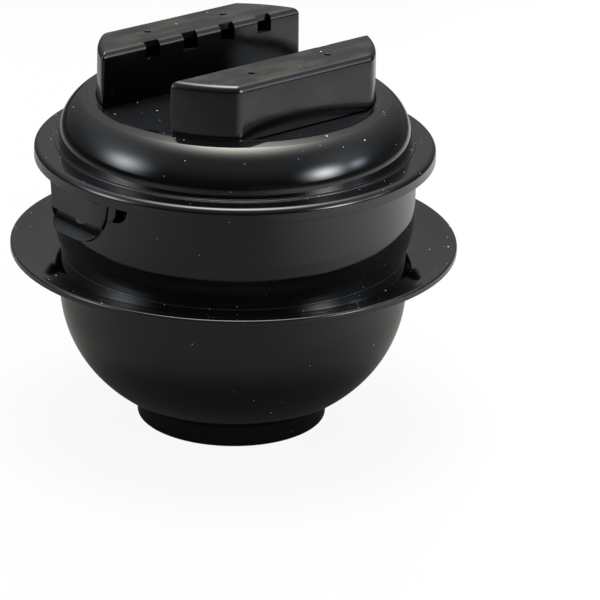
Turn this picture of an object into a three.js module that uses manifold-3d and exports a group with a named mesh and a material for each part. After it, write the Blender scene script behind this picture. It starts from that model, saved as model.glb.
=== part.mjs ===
// Lidded microwave cooking bowl: a pot with a foot ring and a saucer brim, a vented
// inner lid, and a domed upper lid with two hollow steam handles and two lock tabs.
// Millimetres, +Z up. The origin is the centre of the foot ring's underside, and the
// handles run along X.
import * as THREE from 'three';
import { mergeVertices } from 'three/addons/utils/BufferGeometryUtils.js';
import Module from 'manifold-3d';

const wasm = await Module();
wasm.setup();

// ---- driving dimensions -------------------------------------------------------

const SEGMENTS = 48;                // facets round every turned piece
const GAP = 0.3;                    // clearance between pieces that rest on each other

// pot
const BRIM_RADIUS = 88.5;
const BRIM_TOP = 74.4;              // height of the rim of the saucer brim
const BRIM_THICKNESS = 3.0;         // of the rounded rim
const SAUCER_FLOOR = 70.5;          // lowest ring of the brim's upper face
const BRIM_ROOT = 65.0;             // where the brim's root meets the bowl
const BOWL_RADIUS = 69.1;
const BOWL_EQUATOR = 57.5;          // height where the bowl is widest
const BOWL_POWER = 2.16;            // exponent of the bowl's superellipse
const NECK_RADIUS = 68.2;
const NECK_TOP = 110.0;
const CAVITY_RADIUS = 66.0;         // inside of the pot
const CAVITY_BOTTOM = 5.6;
const FOOT_RADIUS = 37.8;
const FOOT_HEIGHT = 8.6;
const FOOT_WIDTH = 3.2;
const FOOT_RECESS = 3.2;            // height of the pot's underside inside the ring
const BEAD_HEIGHT = 92.0;           // ring that the lock tabs catch under
const BEAD_DEPTH = 0.7;

// inner lid
const INNER_RIM_RADIUS = 68.6;
const INNER_RIM_THICKNESS = 2.0;
const INNER_WALL_RADIUS = 65.5;
const INNER_FLOOR = 98.4;
const INNER_SHEET = 1.8;
const KNOB_RADIUS = 11.0;
const KNOB_TOP = 114.0;
const STEAM_HOLE_RADIUS = 2.6;
const STEAM_HOLE_RINGS = [{ radius: 48, count: 12 }, { radius: 28, count: 6 }];

// upper lid
const FLANGE_RADIUS = 78.9;
const FLANGE_TOP = 115.6;
const FLANGE_THICKNESS = 3.0;
const FLANGE_ROUND = 2.6;           // of its upper edge
const LIP_BOTTOM = 109.3;           // the flange's edge turns down to here
const LIP_THICKNESS = 1.9;
const SKIRT_RADIUS = 71.6;          // just below the flange
const SKIRT_BOTTOM = 76.8;
const SKIRT_BOTTOM_RADIUS = 70.3;
const SKIRT_INSIDE = 69.5;
const STEP_RADIUS = 70.6;           // low step between flange and dome
const STEP_HEIGHT = 0.9;
const SHOULDER_CENTRE = { r: 50.9, z: 117.7 };
const SHOULDER_RADIUS = 18.4;
const SHOULDER_SWEEP = 58;          // degrees, from level to the crest
const CREST = { r: 57.6, z: 134.4 };
const PLATEAU_RADIUS = 55.2;
const PLATEAU_TOP = 132.6;
const LID_SHEET = 2.0;

// handles
const HANDLE_TURNS = { rear: 0, front: Math.PI };
const HANDLE_TOP = 155.0;
const HANDLE_INNER_Y = 20.4;        // face towards the gap between the handles
const HANDLE_OUTER_Y = 42.8;
const HANDLE_END_RADIUS = 54.7;     // the ends follow the round plateau
const HANDLE_CORNER = 2.6;
const HANDLE_EDGE = 2.6;            // rounding round the top
const HANDLE_WALL = 2.2;
const NOTCH_WIDTH = 7.0;
const NOTCH_DEPTH = 7.0;            // down from the top
const NOTCH_REACH = 2.4;            // into the handle, from its inner face
const NOTCH_PITCH = 18.7;
const NOTCH_COUNT = 4;
const NOTCH_SHIFT = 3.0;            // of the whole row, along +X on the rear handle
const LEDGE = 3.4;                  // of the lid, inside each handle's outline

// lock tabs: flat plates, one on each side of the skirt
const TAB_ANGLES = { left: 180, right: 0 };     // degrees round from +X
const TAB_FACE = 72.6;              // from the axis to a plate's outer face
const TAB_THICKNESS = 2.2;
const TAB_SHORT_SIDE = 12.2;        // from the skirt's middle line to each edge
const TAB_LONG_SIDE = 24.2;
const TAB_SHORT_CORNER = 18.0;
const TAB_LONG_CORNER = 5.0;
const TAB_TOP = 106.0;
const TAB_BOTTOM = 87.5;
const TAB_CREASE = 96.6;            // where the plate starts to slope in
const LIP_SLOPE = 1.3;              // how far its lower edge comes in
const HOOK_INSIDE = 69.2;           // catches under the pot's bead
const HOOK_OUTSIDE = 70.8;
const HOOK_HEIGHT = 2.9;
const HOOK_SPAN = [-18.0, -2.0];     // along the skirt, from its middle line
const WINDOW_GAP = 0.6;             // all round a tab
const PAD_BOTTOM = 106.6;           // flat pad that joins a tab's face to the flange
const RELIEF_REACH = 19.4;          // thumb relief beside a tab, along the skirt
const RELIEF_BOTTOM = 100.4;
const RELIEF_CORNER = 6.0;

// ---- helpers ------------------------------------------------------------------

const degrees = THREE.MathUtils.degToRad;

function toSolid(geometry) {
  const bare = geometry.index ? geometry.toNonIndexed() : geometry.clone();
  bare.deleteAttribute('normal');
  bare.deleteAttribute('uv');
  const merged = mergeVertices(bare, 1e-4);
  return new wasm.Manifold(new wasm.Mesh({
    numProp: 3,
    vertProperties: new Float32Array(merged.attributes.position.array),
    triVerts: new Uint32Array(merged.index.array),
  }));
}

function toMesh(name, solid, colour, roughness) {
  const { vertProperties, triVerts } = solid.getMesh();
  const geometry = new THREE.BufferGeometry();
  geometry.setAttribute('position', new THREE.BufferAttribute(vertProperties, 3));
  geometry.setIndex(new THREE.BufferAttribute(triVerts, 1));
  geometry.computeVertexNormals();
  const material = new THREE.MeshStandardMaterial({ color: colour, roughness, metalness: 0 });
  const mesh = new THREE.Mesh(geometry, material);
  mesh.name = name;
  return mesh;
}

// A piece turned round Z from its section: [r, z] points, anticlockwise.
function turned(section) {
  const points = section.map(([r, z]) => new THREE.Vector2(r, z));
  points.push(points[0].clone());
  const geometry = new THREE.LatheGeometry(points, SEGMENTS);
  geometry.rotateX(Math.PI / 2);
  return toSolid(geometry);
}

// An outline in plan, raised from z = bottom to z = top.
function raised(outline, bottom, top) {
  const geometry = new THREE.ExtrudeGeometry(outline, {
    depth: top - bottom,
    bevelEnabled: false,
    curveSegments: 5,
  });
  geometry.translate(0, 0, bottom);
  return geometry;
}

// An outline in the upright plane that faces the given angle, pushed outwards
// through the skirt. Its x runs round the skirt and its y is the height.
function throughSkirt(outline, angle) {
  const start = 45;
  const geometry = new THREE.ExtrudeGeometry(outline, {
    depth: BRIM_RADIUS - start,
    bevelEnabled: false,
    curveSegments: 6,
  });
  geometry.rotateX(Math.PI / 2);
  geometry.rotateZ(Math.PI);
  geometry.translate(0, start, 0);
  geometry.rotateZ(degrees(angle) - Math.PI / 2);
  return toSolid(geometry);
}

// Points on a quarter superellipse below the equator, from its lowest ring up.
function superellipse(radius, equator, bottom, fromAngle, steps) {
  const points = [];
  for (let i = 0; i <= steps; i += 1) {
    const angle = degrees(fromAngle * (1 - i / steps));
    points.push([
      radius * Math.cos(angle) ** (2 / BOWL_POWER),
      equator - (equator - bottom) * Math.sin(angle) ** (2 / BOWL_POWER),
    ]);
  }
  return points;
}

function arc(centre, radius, fromAngle, toAngle, steps) {
  const points = [];
  for (let i = 0; i <= steps; i += 1) {
    const angle = degrees(fromAngle + (toAngle - fromAngle) * i / steps);
    points.push([centre.r + radius * Math.cos(angle), centre.z + radius * Math.sin(angle)]);
  }
  return points;
}

// ---- pot ----------------------------------------------------------------------

function makePot() {
  const section = [
    [0, FOOT_RECESS],
    [FOOT_RADIUS - FOOT_WIDTH, FOOT_RECESS],
    [FOOT_RADIUS - FOOT_WIDTH + 0.3, 0],
    [FOOT_RADIUS - 0.6, 0],
    [FOOT_RADIUS, 0.6],
    [FOOT_RADIUS + 0.4, FOOT_HEIGHT],
    ...superellipse(BOWL_RADIUS, BOWL_EQUATOR, 0, 56, 9),
    [BOWL_RADIUS, BRIM_ROOT - GAP],
    [NECK_RADIUS, BRIM_ROOT - GAP],
    [NECK_RADIUS, BEAD_HEIGHT - 1.0],
    [NECK_RADIUS + BEAD_DEPTH, BEAD_HEIGHT - 0.4],
    [NECK_RADIUS + BEAD_DEPTH, BEAD_HEIGHT + 0.2],
    [NECK_RADIUS, BEAD_HEIGHT + 1.4],
    [NECK_RADIUS, NECK_TOP - 0.6],
    [NECK_RADIUS - 0.6, NECK_TOP],
    [CAVITY_RADIUS + 0.6, NECK_TOP],
    [CAVITY_RADIUS, NECK_TOP - 0.6],
    ...superellipse(CAVITY_RADIUS, BOWL_EQUATOR, CAVITY_BOTTOM, 84, 9).reverse(),
    [0, CAVITY_BOTTOM],
  ];
  return turned(section);
}

// The saucer brim sits round the neck, on the shoulder of the bowl.
function makeBrim() {
  const edge = BRIM_THICKNESS / 2;
  const inside = NECK_RADIUS + GAP;
  const rimCentre = { r: BRIM_RADIUS - edge, z: BRIM_TOP - edge };
  const saucerRoot = NECK_RADIUS + 3.4;
  const saucer = (share, rootHeight, rimHeight) => [
    saucerRoot + (rimCentre.r - saucerRoot) * share,
    rootHeight + (rimHeight - rootHeight) * share ** 1.5,
  ];
  return turned([
    [inside, BRIM_ROOT],
    [BOWL_RADIUS + 0.4, BRIM_ROOT],
    [BOWL_RADIUS + 1.3, 67.2],
    saucer(0.1, SAUCER_FLOOR - 2.3, BRIM_TOP - BRIM_THICKNESS),
    saucer(0.55, SAUCER_FLOOR - 2.3, BRIM_TOP - BRIM_THICKNESS),
    ...arc(rimCentre, edge, -90, 90, 4),
    saucer(0.55, SAUCER_FLOOR, BRIM_TOP),
    saucer(0.1, SAUCER_FLOOR, BRIM_TOP),
    [NECK_RADIUS + 1.2, SAUCER_FLOOR + 0.7],
    [inside, SAUCER_FLOOR + 1.6],
  ]);
}

// ---- inner lid ----------------------------------------------------------------

function makeInnerLid() {
  const rimBottom = NECK_TOP + GAP;
  const rimTop = rimBottom + INNER_RIM_THICKNESS;
  const inside = INNER_WALL_RADIUS - INNER_SHEET;
  const floorTop = INNER_FLOOR + INNER_SHEET;
  let lid = turned([
    [0, KNOB_TOP - INNER_SHEET],
    [KNOB_RADIUS - 3.2, KNOB_TOP - INNER_SHEET],
    [KNOB_RADIUS - 3.2, INNER_FLOOR],
    [INNER_WALL_RADIUS - 1.2, INNER_FLOOR],
    [INNER_WALL_RADIUS, INNER_FLOOR + 1.2],
    [INNER_WALL_RADIUS, rimBottom],
    [INNER_RIM_RADIUS - 0.4, rimBottom],
    [INNER_RIM_RADIUS, rimBottom + 0.4],
    [INNER_RIM_RADIUS, rimTop - 0.4],
    [INNER_RIM_RADIUS - 0.4, rimTop],
    [inside + 0.8, rimTop],
    [inside, rimTop - 0.8],
    [inside, floorTop + 1.0],
    [inside - 1.0, floorTop],
    [KNOB_RADIUS - 0.8, floorTop],
    [KNOB_RADIUS - 1.4, floorTop + 1.5],
    [KNOB_RADIUS, KNOB_TOP - 1.4],
    [KNOB_RADIUS - 1.4, KNOB_TOP],
    [0, KNOB_TOP],
  ]);
  for (const ring of STEAM_HOLE_RINGS) {
    for (let i = 0; i < ring.count; i += 1) {
      const angle = (i + 0.5) / ring.count * Math.PI * 2;
      const drill = new THREE.CylinderGeometry(STEAM_HOLE_RADIUS, STEAM_HOLE_RADIUS, 8, 10);
      drill.rotateX(Math.PI / 2);
      drill.translate(ring.radius * Math.cos(angle), ring.radius * Math.sin(angle), floorTop);
      lid = lid.subtract(toSolid(drill));
    }
  }
  return lid;
}

// ---- handles ------------------------------------------------------------------

// The rear handle's outline in plan, drawn in by inset: straight towards the gap and
// towards the back, with ends that follow a circle round the lid's axis.
function handleOutline(inset) {
  const radius = HANDLE_END_RADIUS - inset;
  const corner = Math.max(HANDLE_CORNER - inset, 0.8);
  const inner = HANDLE_INNER_Y + inset;
  const outer = HANDLE_OUTER_Y - inset;
  const innerHalf = Math.sqrt(radius ** 2 - inner ** 2);
  const outerHalf = Math.sqrt(radius ** 2 - outer ** 2);
  const innerAngle = Math.asin(inner / radius) + corner / radius;
  const outerAngle = Math.asin(outer / radius) - corner / radius;
  const onEnd = (angle) => [radius * Math.cos(angle), radius * Math.sin(angle)];
  const shape = new THREE.Shape();
  shape.moveTo(corner - innerHalf, inner);
  shape.lineTo(innerHalf - corner, inner);
  shape.quadraticCurveTo(innerHalf, inner, ...onEnd(innerAngle));
  shape.absarc(0, 0, radius, innerAngle, outerAngle);
  shape.quadraticCurveTo(outerHalf, outer, outerHalf - corner, outer);
  shape.lineTo(corner - outerHalf, outer);
  shape.quadraticCurveTo(-outerHalf, outer, ...onEnd(Math.PI - outerAngle));
  shape.absarc(0, 0, radius, Math.PI - outerAngle, Math.PI - innerAngle);
  shape.quadraticCurveTo(-innerHalf, inner, corner - innerHalf, inner);
  return shape;
}

function makeHandle() {
  const base = PLATEAU_TOP + GAP;
  const block = new THREE.ExtrudeGeometry(handleOutline(HANDLE_EDGE), {
    depth: HANDLE_TOP - base,
    bevelThickness: HANDLE_EDGE,
    bevelSize: HANDLE_EDGE,
    bevelSegments: 3,
    curveSegments: 4,
  });
  block.translate(0, 0, base - HANDLE_EDGE);
  const below = new THREE.BoxGeometry(3 * HANDLE_OUTER_Y, 3 * HANDLE_OUTER_Y, 4 * HANDLE_EDGE);
  below.translate(0, 0, base - 2 * HANDLE_EDGE);
  let handle = toSolid(block).subtract(toSolid(below));
  const hollow = raised(handleOutline(HANDLE_WALL), base - 1, HANDLE_TOP - HANDLE_WALL);
  handle = handle.subtract(toSolid(hollow));
  for (let i = 0; i < NOTCH_COUNT; i += 1) {
    const notch = new THREE.BoxGeometry(NOTCH_WIDTH, 2 * NOTCH_REACH, 2 * NOTCH_DEPTH);
    const x = NOTCH_SHIFT + (i - (NOTCH_COUNT - 1) / 2) * NOTCH_PITCH;
    notch.translate(x, HANDLE_INNER_Y, HANDLE_TOP);
    handle = handle.subtract(toSolid(notch));
  }
  return handle;
}

// ---- lock tabs ----------------------------------------------------------------

// A plate's outline, grown all round: its x runs along the skirt, from the long side
// to the short side, and its y is the height.
function tabOutline(grow) {
  const left = -TAB_LONG_SIDE - grow;
  const right = TAB_SHORT_SIDE + grow;
  const bottom = TAB_BOTTOM - grow;
  const top = TAB_TOP + grow;
  const leftCorner = TAB_LONG_CORNER + grow;
  const rightCorner = TAB_SHORT_CORNER + grow;
  const shape = new THREE.Shape();
  shape.moveTo(left, top);
  shape.lineTo(left, bottom + leftCorner);
  shape.absarc(left + leftCorner, bottom + leftCorner, leftCorner, Math.PI, 1.5 * Math.PI);
  shape.absarc(right - rightCorner, bottom + rightCorner, rightCorner, 1.5 * Math.PI, 2 * Math.PI);
  shape.lineTo(right, top);
  shape.closePath();
  return shape;
}

// The relief runs on from the tab's window past its short side.
function reliefOutline() {
  const shape = new THREE.Shape();
  shape.moveTo(0, PAD_BOTTOM);
  shape.lineTo(0, RELIEF_BOTTOM);
  shape.lineTo(RELIEF_REACH - RELIEF_CORNER, RELIEF_BOTTOM);
  shape.absarc(
    RELIEF_REACH - RELIEF_CORNER,
    RELIEF_BOTTOM + RELIEF_CORNER,
    RELIEF_CORNER,
    1.5 * Math.PI,
    2 * Math.PI,
  );
  shape.lineTo(RELIEF_REACH, PAD_BOTTOM);
  shape.closePath();
  return shape;
}

function box(left, right, bottom, top) {
  const shape = new THREE.Shape();
  shape.moveTo(left, bottom);
  shape.lineTo(right, bottom);
  shape.lineTo(right, top);
  shape.lineTo(left, top);
  shape.closePath();
  return shape;
}

// A straight bar beside the lid, with the given upright section: its x is the distance
// from the axis and its y is the height.
function beside(section, angle) {
  const length = 2 * SKIRT_RADIUS;
  const geometry = new THREE.ExtrudeGeometry(section, { depth: length, bevelEnabled: false });
  geometry.translate(0, 0, -length / 2);
  geometry.rotateX(Math.PI / 2);
  geometry.rotateZ(degrees(angle));
  return toSolid(geometry);
}

function makeTab(angle) {
  const back = TAB_FACE - TAB_THICKNESS;
  const section = new THREE.Shape();
  section.moveTo(back, TAB_TOP);
  section.lineTo(back, TAB_CREASE);
  section.lineTo(back - LIP_SLOPE / 2, TAB_BOTTOM);
  section.lineTo(TAB_FACE - LIP_SLOPE, TAB_BOTTOM);
  section.lineTo(TAB_FACE, TAB_CREASE);
  section.lineTo(TAB_FACE, TAB_TOP);
  section.closePath();
  const plate = beside(section, angle);
  const hookTop = TAB_BOTTOM + HOOK_HEIGHT;
  const hook = turned([
    [HOOK_INSIDE, hookTop - 0.4],
    [HOOK_INSIDE, TAB_BOTTOM],
    [HOOK_OUTSIDE, TAB_BOTTOM],
    [HOOK_OUTSIDE, hookTop],
  ]);
  const reach = throughSkirt(box(...HOOK_SPAN, TAB_BOTTOM - 1, hookTop + 1), angle);
  return plate.add(hook.intersect(reach)).intersect(throughSkirt(tabOutline(0), angle));
}

// The pad fills between the skirt and the plane of the tab's face, up to the flange.
function makePad(angle) {
  const top = FLANGE_TOP - FLANGE_THICKNESS / 2;
  const bar = beside(box(SKIRT_RADIUS / 2, TAB_FACE, PAD_BOTTOM, top), angle);
  const core = new THREE.CylinderGeometry(
    SKIRT_INSIDE + 0.4,
    SKIRT_INSIDE + 0.4,
    2 * FLANGE_TOP,
    SEGMENTS,
  );
  core.rotateX(Math.PI / 2);
  const span = box(-TAB_LONG_SIDE, TAB_SHORT_SIDE, TAB_BOTTOM, FLANGE_TOP);
  return bar.intersect(throughSkirt(span, angle)).subtract(toSolid(core));
}

// ---- upper lid ----------------------------------------------------------------

function makeUpperLid() {
  const flangeBottom = FLANGE_TOP - FLANGE_THICKNESS;
  const stepTop = FLANGE_TOP + STEP_HEIGHT;
  const inside = SHOULDER_CENTRE.r + SHOULDER_RADIUS - LID_SHEET;
  const lipInside = FLANGE_RADIUS - LIP_THICKNESS;
  const edgeCentre = { r: FLANGE_RADIUS - FLANGE_ROUND, z: FLANGE_TOP - FLANGE_ROUND };
  let lid = turned([
    [0, PLATEAU_TOP - LID_SHEET],
    [PLATEAU_RADIUS, PLATEAU_TOP - LID_SHEET],
    [CREST.r - 0.4, CREST.z - LID_SHEET],
    ...arc(SHOULDER_CENTRE, SHOULDER_RADIUS - LID_SHEET, SHOULDER_SWEEP, 0, 5),
    [inside, flangeBottom],
    [SKIRT_INSIDE, flangeBottom],
    [SKIRT_INSIDE, SKIRT_BOTTOM + 4],
    [SKIRT_INSIDE - 0.3, SKIRT_BOTTOM + 0.3],
    [SKIRT_INSIDE, SKIRT_BOTTOM],
    [SKIRT_BOTTOM_RADIUS - 0.2, SKIRT_BOTTOM],
    [SKIRT_BOTTOM_RADIUS + 0.4, SKIRT_BOTTOM + 2],
    [SKIRT_RADIUS - 0.3, SKIRT_BOTTOM + 11],
    [SKIRT_RADIUS, flangeBottom],
    [lipInside, flangeBottom],
    [lipInside, LIP_BOTTOM],
    [FLANGE_RADIUS - 0.3, LIP_BOTTOM],
    [FLANGE_RADIUS, LIP_BOTTOM + 0.3],
    ...arc(edgeCentre, FLANGE_ROUND, 0, 90, 3),
    [STEP_RADIUS, FLANGE_TOP],
    [STEP_RADIUS - 0.2, stepTop - 0.2],
    [STEP_RADIUS - 0.8, stepTop],
    ...arc(SHOULDER_CENTRE, SHOULDER_RADIUS, 0, SHOULDER_SWEEP, 6),
    [CREST.r + 1.2, CREST.z - 0.2],
    [CREST.r, CREST.z],
    [CREST.r - 1.4, CREST.z - 0.3],
    [PLATEAU_RADIUS, PLATEAU_TOP],
    [0, PLATEAU_TOP],
  ]);
  for (const angle of Object.values(TAB_ANGLES)) {
    lid = lid.subtract(throughSkirt(tabOutline(WINDOW_GAP), angle));
    lid = lid.subtract(throughSkirt(reliefOutline(), angle));
    lid = lid.add(makePad(angle));
  }
  for (const turn of Object.values(HANDLE_TURNS)) {
    const opening = raised(handleOutline(LEDGE), PLATEAU_TOP - 2 * LID_SHEET, PLATEAU_TOP + 1);
    opening.rotateZ(turn);
    lid = lid.subtract(toSolid(opening));
  }
  return lid;
}

// ---- assembly -----------------------------------------------------------------

const GLOSS_BLACK = 0x1c1d1f;
const SATIN_BLACK = 0x1a1b1c;

const upperLid = new THREE.Group();
upperLid.add(toMesh('upper_lid', makeUpperLid(), GLOSS_BLACK, 0.2));
for (const [side, turn] of Object.entries(HANDLE_TURNS)) {
  const handle = toMesh(`${side}_handle`, makeHandle(), GLOSS_BLACK, 0.25);
  handle.rotation.z = turn;
  upperLid.add(handle);
}
for (const [side, angle] of Object.entries(TAB_ANGLES)) {
  upperLid.add(toMesh(`lock_tab_${side}`, makeTab(angle), GLOSS_BLACK, 0.25));
}

const cookingBowl = new THREE.Group();
cookingBowl.add(toMesh('pot_body', makePot(), GLOSS_BLACK, 0.25));
cookingBowl.add(toMesh('pot_brim', makeBrim(), GLOSS_BLACK, 0.25));
cookingBowl.add(toMesh('inner_lid', makeInnerLid(), SATIN_BLACK, 0.35));
cookingBowl.add(upperLid);

export default cookingBowl;
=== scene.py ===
import math

import bpy
import numpy as np
from mathutils import Matrix, Vector
from mathutils.bvhtree import BVHTree
from mathutils.geometry import delaunay_2d_cdt


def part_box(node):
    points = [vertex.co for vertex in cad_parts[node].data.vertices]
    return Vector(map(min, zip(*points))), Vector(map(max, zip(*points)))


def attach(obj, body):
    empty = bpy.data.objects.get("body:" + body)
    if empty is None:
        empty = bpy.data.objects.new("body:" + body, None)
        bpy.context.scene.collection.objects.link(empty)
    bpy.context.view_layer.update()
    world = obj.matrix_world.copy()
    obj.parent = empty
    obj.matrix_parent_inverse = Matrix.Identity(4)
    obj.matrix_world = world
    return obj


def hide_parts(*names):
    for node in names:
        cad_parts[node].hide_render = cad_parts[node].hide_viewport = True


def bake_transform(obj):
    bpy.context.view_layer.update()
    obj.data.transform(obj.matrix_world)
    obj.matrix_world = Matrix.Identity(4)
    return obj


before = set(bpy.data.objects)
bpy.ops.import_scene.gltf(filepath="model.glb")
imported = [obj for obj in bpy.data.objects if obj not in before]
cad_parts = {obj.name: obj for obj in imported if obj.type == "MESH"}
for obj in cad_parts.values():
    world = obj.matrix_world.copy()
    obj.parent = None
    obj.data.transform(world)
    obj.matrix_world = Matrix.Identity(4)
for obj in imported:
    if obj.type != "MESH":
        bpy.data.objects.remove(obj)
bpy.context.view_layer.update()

# A lidded microwave cooking bowl of black moulded plastic: a footed pot with a saucer
# brim, a vented inner lid, and a domed upper lid with two handles and two lock tabs.
# Lengths are in millimetres until add_mesh() turns them into Blender's metres.

MM = 0.001
TURN_STEPS = 240                    # facets round a turned piece
ARC_STEP = math.radians(9)          # turn between two points of a fillet
SHARP = math.radians(32)            # edges that turn further than this stay crisp


# ---- sizes taken from the frame -------------------------------------------------

def low(node, axis):
    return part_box(node)[0][axis] / MM


def high(node, axis):
    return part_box(node)[1][axis] / MM


X, Y, Z = 0, 1, 2
BOWL_RADIUS = high("pot_body", X)
NECK_TOP = high("pot_body", Z)
BRIM_RADIUS = high("pot_brim", X)
BRIM_TOP = high("pot_brim", Z)
RIM_RADIUS = high("inner_lid", X)
KNOB_TOP = high("inner_lid", Z)
INNER_FLOOR = low("inner_lid", Z)
FLANGE_RADIUS = high("upper_lid", X)
CREST_TOP = high("upper_lid", Z)
SKIRT_BOTTOM = low("upper_lid", Z)
HANDLE_BASE = low("rear_handle", Z)
HANDLE_TOP = high("rear_handle", Z)
HANDLE_INNER_Y = low("rear_handle", Y)
HANDLE_OUTER_Y = high("rear_handle", Y)
TAB_FACE = high("lock_tab_right", X)
TAB_LONG_SIDE = high("lock_tab_left", Y)
TAB_TRIM = 2.1                      # narrower than the CAD's tab on the relief's side
TAB_SHORT_SIDE = -low("lock_tab_left", Y) - TAB_TRIM
TAB_BOTTOM = low("lock_tab_left", Z)
TAB_TOP = high("lock_tab_left", Z)

# ---- sizes of the moulded forms -------------------------------------------------

GAP = 0.3                           # clearance between pieces that rest on each other

# pot
BOWL_EQUATOR = 57.5                 # height where the bowl is widest
BOWL_POWER = 2.16                   # exponent of the bowl's superellipse
BOWL_SHOULDER = ((0.2, 64.0, 3.0), (1.6, 67.6, 2.4))    # [beyond its radius, z, fillet]
BRIM_THICKNESS = 3.0                # of the rounded rim
RIM_ROUND = 1.9                     # of the rim's upper edge
SAUCER_FLOOR = 70.5                 # lowest ring of the brim's upper face
SAUCER_UNDERSIDE = 68.2
SAUCER_POWER = 1.6                  # how late the brim's faces turn up
NECK_RADIUS = 68.2
SAUCER_ROOT = NECK_RADIUS + 3.2
SAUCER_END = BRIM_RADIUS - 1.3
CAVITY_RADIUS = 66.0
CAVITY_BOTTOM = 5.6
FOOT_RADIUS = 37.8
FOOT_HEIGHT = 8.6
FOOT_WIDTH = 3.2
FOOT_RECESS = 3.2                   # height of the pot's underside inside the ring
BEAD_HEIGHT = 92.0                  # ring that the lock tabs catch under
BEAD_DEPTH = 0.7
DULL_ABOVE = SKIRT_BOTTOM + 3       # the neck is not polished from here up

# inner lid
INNER_WALL_RADIUS = 65.5
INNER_SHEET = 1.8
INNER_RIM_THICKNESS = 2.0
KNOB_RADIUS = 11.0
STEAM_HOLE_RADIUS = 2.6
STEAM_HOLE_FLARE = 0.5
STEAM_HOLE_RINGS = ((48, 12), (28, 6))      # [radius, count]

# upper lid
FLANGE_TOP = 115.1
FLANGE_BOTTOM = 112.6
FLANGE_ROUND = 2.4                  # of its upper edge
LIP_BOTTOM = 109.3                  # the flange's edge turns down to here
LIP_THICKNESS = 1.8
STEP_RADIUS = 70.8                  # low step round the foot of the dome
STEP_HEIGHT = 0.5
STEP_ROUND = 0.4
SKIRT_RADIUS = 71.6
SKIRT_INSIDE = 69.5
SKIRT_TAPER = ((1.5, 0, 0.45), (0.75, 3.6, 9.0), (0.25, 12, 20.0))  # [inward, up, fillet]
SHOULDER = (50.9, 117.7)            # centre of the dome's shoulder, [r, z]
SHOULDER_RADIUS = 18.4
SHOULDER_SWEEP = 58                 # degrees, from level to the crest
CREST_RADIUS = 57.4
PLATEAU_RADIUS = 54.6
PLATEAU_TOP = 132.6
LID_SHEET = 2.0

# handles
HANDLE_END_RADIUS = 54.4
HANDLE_CORNER = 2.2
HANDLE_EDGE = 2.8
HANDLE_WALL = 2.2
HANDLE_DRAFT = 0.25
HANDLE_LEDGE = 5.6                  # of the lid, inside each handle's outline
NOTCH_PITCH = 18.7
NOTCH_COUNT = 4
NOTCH_SHIFT = 3.0                   # of the whole row, along +X on the rear handle
NOTCH_WIDTH = 7.0
NOTCH_DEPTH = 7.0
NOTCH_REACH = 2.4                   # into the handle, from its inner face
DIMPLE_X = 19.0
DIMPLE_Y = 32.0
DIMPLE_DEPTH = 2.0
DIMPLE_RADII = (1.1, 1.25, 1.7)     # at its floor, under the handle's top and above it

# lock tabs
TAB_SHORT_CORNER = 18.0
TAB_LONG_CORNER = 5.0
TAB_CREASE = 96.6                   # its lip starts below this
TAB_THICKNESS = 1.0
TAB_EDGE = 0.35
TAB_BEND = 2.4                      # height of the part that bends, below TAB_TOP
HOOK_SPAN = (-17.5, -7.5)           # along the skirt
HOOK_SECTION = ((69.2, 0.5), (71.4, 0.3), (71.6, 3.4), (69.2, 2.8))     # [radius, up]
HOOK_STEPS = 9
TAB_RUN_OUT = 9.0                   # past its short side, where its face meets the skirt
TAB_DIP = 2.2                       # its lip dips in and curls out again
TAB_CURL = 2.7
TAB_CURL_START = 0.4                # share of the curl that is straight
TAB_LEDGE = 0.16                    # share of the lip that the dip takes up
TAB_ROOT = 106.7                    # where a tab's plate runs on into the lid
WINDOW_GAP = 0.3
WINDOW_EDGE = 0.35                  # round of the window's outer edge
WINDOW_UNDERCUT = 1.3               # the opening widens behind the skirt's face
WINDOW_SINK = 0.15                  # the round ends this far inside SKIRT_RADIUS
RELIEF_REACH = 19.4                 # thumb relief beside a tab, along the skirt
RELIEF_BOTTOM = 100.4
RELIEF_CORNER = 6.0


# ---- mesh helpers ---------------------------------------------------------------

def evaluated_mesh(obj):
    graph = bpy.context.evaluated_depsgraph_get()
    return bpy.data.meshes.new_from_object(obj.evaluated_get(graph))


def apply_modifiers(obj):
    mesh = evaluated_mesh(obj)
    obj.modifiers.clear()
    obj.data = mesh
    return obj


def add_mesh(name, points, faces):
    """A smooth-shaded mesh object whose normals follow its larger faces."""
    mesh = bpy.data.meshes.new(name)
    mesh.from_pydata([Vector(p) * MM for p in points], [], faces)
    mesh.shade_smooth()
    mesh.set_sharp_from_angle(angle=SHARP)
    obj = bpy.data.objects.new(name, mesh)
    bpy.context.scene.collection.objects.link(obj)
    weighted = obj.modifiers.new("weighted", "WEIGHTED_NORMAL")
    weighted.keep_sharp = True
    return apply_modifiers(obj)


def corner(before, at, after, radius):
    """Points of a fillet of the given radius at one corner of an outline."""
    a, p, b = (np.array(q[:2], float) for q in (before, at, after))
    to_a = (a - p) / np.linalg.norm(a - p)
    to_b = (b - p) / np.linalg.norm(b - p)
    inner = math.acos(float(np.clip(to_a @ to_b, -1, 1)))
    turn = math.pi - inner
    if radius <= 0 or turn < 1e-3:
        return [tuple(p)]
    room = 0.49 * min(np.linalg.norm(a - p), np.linalg.norm(b - p))
    setback = min(radius / math.tan(inner / 2), room)
    radius = setback * math.tan(inner / 2)
    bisector = (to_a + to_b) / np.linalg.norm(to_a + to_b)
    centre = p + bisector * radius / math.sin(inner / 2)
    start, end = p + to_a * setback - centre, p + to_b * setback - centre
    steps = max(2, math.ceil(turn / ARC_STEP))
    sweep = math.atan2(start[0] * end[1] - start[1] * end[0], start @ end)
    points = []
    for i in range(steps + 1):
        c, s = math.cos(sweep * i / steps), math.sin(sweep * i / steps)
        points.append((centre[0] + c * start[0] - s * start[1],
                       centre[1] + s * start[0] + c * start[1]))
    return points


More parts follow.
